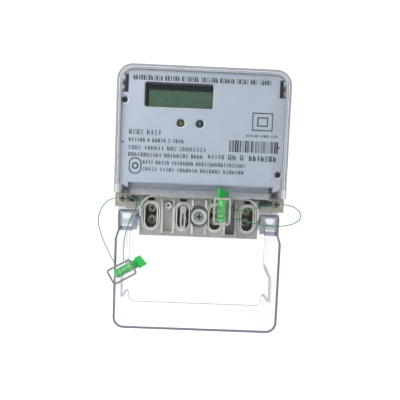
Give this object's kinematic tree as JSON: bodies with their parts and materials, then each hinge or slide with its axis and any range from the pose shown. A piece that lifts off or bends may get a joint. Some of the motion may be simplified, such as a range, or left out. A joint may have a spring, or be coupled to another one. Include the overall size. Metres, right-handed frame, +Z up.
{
  "type": "electricity meter",
  "caption": "Wall-mounted single-phase electricity meter with clear front cover, blank display, terminal block under a clear extended cover and two twist wire seals.",
  "frame": {"origin": "on the wall plane, midway between the two lower fixing slots", "axes": "+Z up the height of the meter, +Y into the wall, so the meter faces -Y, +X to the right seen from the front"},
  "size_m": [0.1592, 0.0572, 0.2084],
  "materials": {
    "clear_shell": "clear glossy moulded polycarbonate",
    "base_shell": "pale smoky moulded polycarbonate",
    "gasket": "soft grey rubber",
    "dark_moulding": "dark grey moulding",
    "carrier_silver": "silver grey fine matt moulding",
    "label_print": "silver grey printed film",
    "lcd_panel": "blank dark green reflective display",
    "white_plastic": "white moulding",
    "led_amber": "tinted epoxy lens",
    "led_grey": "smoky epoxy lens",
    "board_green": "green solder mask",
    "zinc_steel": "bright zinc plated steel",
    "black_epoxy": "black moulded epoxy",
    "tin_can": "tinned can",
    "grey_box": "yellow capacitor box",
    "black_sleeve": "dark sleeve",
    "blue_epoxy": "blue epoxy dip",
    "copper_bar": "tinned copper bar",
    "coil_wrap": "blue coil tape",
    "block_grey": "grey translucent moulding",
    "brass_parts": "turned brass",
    "dark_screw": "oxidised dark plated steel",
    "seal_clear": "clear moulded seal body",
    "seal_green": "bright green moulding",
    "wire_green": "green coated twisted wire"
  },
  "bodies": {
    "meter": {"base_case": "base_shell", "case_gasket": "gasket", "front_cover": "clear_shell", "nameplate_carrier": "carrier_silver", "nameplate_label": "label_print", "latch_springs": "dark_moulding", "case_rivets": "dark_moulding", "lcd_glass": "lcd_panel", "lcd_frame": "white_plastic", "lcd_contacts": "gasket", "pulse_led": "led_amber", "tamper_led": "led_grey", "main_pcb": "board_green", "pcb_screws": "zinc_steel", "microcontroller": "black_epoxy", "metering_chip": "black_epoxy", "crystal": "tin_can", "film_capacitor": "grey_box", "electrolytic_capacitors": "black_sleeve", "varistor": "blue_epoxy", "phase_shunt": "copper_bar", "neutral_link": "copper_bar", "current_transformer": "coil_wrap", "terminal_block": "block_grey", "terminal_tube_1": "brass_parts", "terminal_tube_2": "brass_parts", "terminal_tube_3": "brass_parts", "terminal_tube_4": "brass_parts", "terminal_cover": "clear_shell", "link_guard": "clear_shell", "cover_screw_insert": "brass_parts", "sealing_inserts": "brass_parts", "sealing_screw_left": "dark_screw", "sealing_screw_right": "dark_screw", "seal_body_left": "seal_clear", "seal_body_right": "seal_clear", "seal_wire_left": "wire_green", "seal_wire_right": "wire_green"},
    "clamp_pad_1": {"clamp_pad_1": "dark_screw"},
    "terminal_screw_1": {"terminal_screw_1": "dark_screw"},
    "clamp_pad_2": {"clamp_pad_2": "dark_screw"},
    "terminal_screw_2": {"terminal_screw_2": "dark_screw"},
    "clamp_pad_3": {"clamp_pad_3": "dark_screw"},
    "terminal_screw_3": {"terminal_screw_3": "dark_screw"},
    "clamp_pad_4": {"clamp_pad_4": "dark_screw"},
    "terminal_screw_4": {"terminal_screw_4": "dark_screw"},
    "clamp_pad_5": {"clamp_pad_5": "dark_screw"},
    "terminal_screw_5": {"terminal_screw_5": "dark_screw"},
    "clamp_pad_6": {"clamp_pad_6": "dark_screw"},
    "terminal_screw_6": {"terminal_screw_6": "dark_screw"},
    "clamp_pad_7": {"clamp_pad_7": "dark_screw"},
    "terminal_screw_7": {"terminal_screw_7": "dark_screw"},
    "clamp_pad_8": {"clamp_pad_8": "dark_screw"},
    "terminal_screw_8": {"terminal_screw_8": "dark_screw"},
    "cover_screw_ring": {"cover_screw_ring": "zinc_steel"},
    "cover_screw": {"cover_screw": "zinc_steel"},
    "seal_rotor_left": {"seal_rotor_left": "seal_green"},
    "seal_rotor_right": {"seal_rotor_right": "seal_green"}
  },
  "joints": [
    {"name": "clamp_1_travel", "type": "slide", "parent": "meter", "child": "clamp_pad_1", "axis": [0, 1, 0], "range_m": [0, 0.004]},
    {"name": "terminal_screw_1_turn", "type": "hinge", "parent": "clamp_pad_1", "child": "terminal_screw_1", "pos_m": [-0.0381, -0.025, 0.0102], "axis": [0, 1, 0], "range_deg": [0, 1800]},
    {"name": "clamp_2_travel", "type": "slide", "parent": "meter", "child": "clamp_pad_2", "axis": [0, 1, 0], "range_m": [0, 0.004]},
    {"name": "terminal_screw_2_turn", "type": "hinge", "parent": "clamp_pad_2", "child": "terminal_screw_2", "pos_m": [-0.0381, -0.025, 0.0004], "axis": [0, 1, 0], "range_deg": [0, 1800]},
    {"name": "clamp_3_travel", "type": "slide", "parent": "meter", "child": "clamp_pad_3", "axis": [0, 1, 0], "range_m": [0, 0.004]},
    {"name": "terminal_screw_3_turn", "type": "hinge", "parent": "clamp_pad_3", "child": "terminal_screw_3", "pos_m": [-0.0127, -0.025, 0.0102], "axis": [0, 1, 0], "range_deg": [0, 1800]},
    {"name": "clamp_4_travel", "type": "slide", "parent": "meter", "child": "clamp_pad_4", "axis": [0, 1, 0], "range_m": [0, 0.004]},
    {"name": "terminal_screw_4_turn", "type": "hinge", "parent": "clamp_pad_4", "child": "terminal_screw_4", "pos_m": [-0.0127, -0.025, 0.0004], "axis": [0, 1, 0], "range_deg": [0, 1800]},
    {"name": "clamp_5_travel", "type": "slide", "parent": "meter", "child": "clamp_pad_5", "axis": [0, 1, 0], "range_m": [0, 0.004]},
    {"name": "terminal_screw_5_turn", "type": "hinge", "parent": "clamp_pad_5", "child": "terminal_screw_5", "pos_m": [0.0127, -0.025, 0.0102], "axis": [0, 1, 0], "range_deg": [0, 1800]},
    {"name": "clamp_6_travel", "type": "slide", "parent": "meter", "child": "clamp_pad_6", "axis": [0, 1, 0], "range_m": [0, 0.004]},
    {"name": "terminal_screw_6_turn", "type": "hinge", "parent": "clamp_pad_6", "child": "terminal_screw_6", "pos_m": [0.0127, -0.025, 0.0004], "axis": [0, 1, 0], "range_deg": [0, 1800]},
    {"name": "clamp_7_travel", "type": "slide", "parent": "meter", "child": "clamp_pad_7", "axis": [0, 1, 0], "range_m": [0, 0.004]},
    {"name": "terminal_screw_7_turn", "type": "hinge", "parent": "clamp_pad_7", "child": "terminal_screw_7", "pos_m": [0.0381, -0.025, 0.0102], "axis": [0, 1, 0], "range_deg": [0, 1800]},
    {"name": "clamp_8_travel", "type": "slide", "parent": "meter", "child": "clamp_pad_8", "axis": [0, 1, 0], "range_m": [0, 0.004]},
    {"name": "terminal_screw_8_turn", "type": "hinge", "parent": "clamp_pad_8", "child": "terminal_screw_8", "pos_m": [0.0381, -0.025, 0.0004], "axis": [0, 1, 0], "range_deg": [0, 1800]},
    {"name": "cover_screw_travel", "type": "slide", "parent": "meter", "child": "cover_screw_ring", "axis": [0, -1, 0], "range_m": [0, 0.0035]},
    {"name": "cover_screw_turn", "type": "hinge", "parent": "cover_screw_ring", "child": "cover_screw", "pos_m": [0, -0.036, 0.0059], "axis": [0, -1, 0], "range_deg": [0, 1800]},
    {"name": "seal_rotor_left_turn", "type": "hinge", "parent": "meter", "child": "seal_rotor_left", "pos_m": [-0.0582, -0.0495, -0.0381], "axis": [0.866, 0, 0.5], "range_deg": [0, 720]},
    {"name": "seal_rotor_right_turn", "type": "hinge", "parent": "meter", "child": "seal_rotor_right", "pos_m": [0.0171, -0.0522, 0.0124], "axis": [0, 0, 1], "range_deg": [0, 720]}
  ],
  "couplings": [
    {"joint": "terminal_screw_1_turn", "follows": "clamp_1_travel", "rad_per_m": 7854},
    {"joint": "terminal_screw_2_turn", "follows": "clamp_2_travel", "rad_per_m": 7854},
    {"joint": "terminal_screw_3_turn", "follows": "clamp_3_travel", "rad_per_m": 7854},
    {"joint": "terminal_screw_4_turn", "follows": "clamp_4_travel", "rad_per_m": 7854},
    {"joint": "terminal_screw_5_turn", "follows": "clamp_5_travel", "rad_per_m": 7854},
    {"joint": "terminal_screw_6_turn", "follows": "clamp_6_travel", "rad_per_m": 7854},
    {"joint": "terminal_screw_7_turn", "follows": "clamp_7_travel", "rad_per_m": 7854},
    {"joint": "terminal_screw_8_turn", "follows": "clamp_8_travel", "rad_per_m": 7854},
    {"joint": "cover_screw_turn", "follows": "cover_screw_travel", "rad_per_m": 8976}
  ]
}
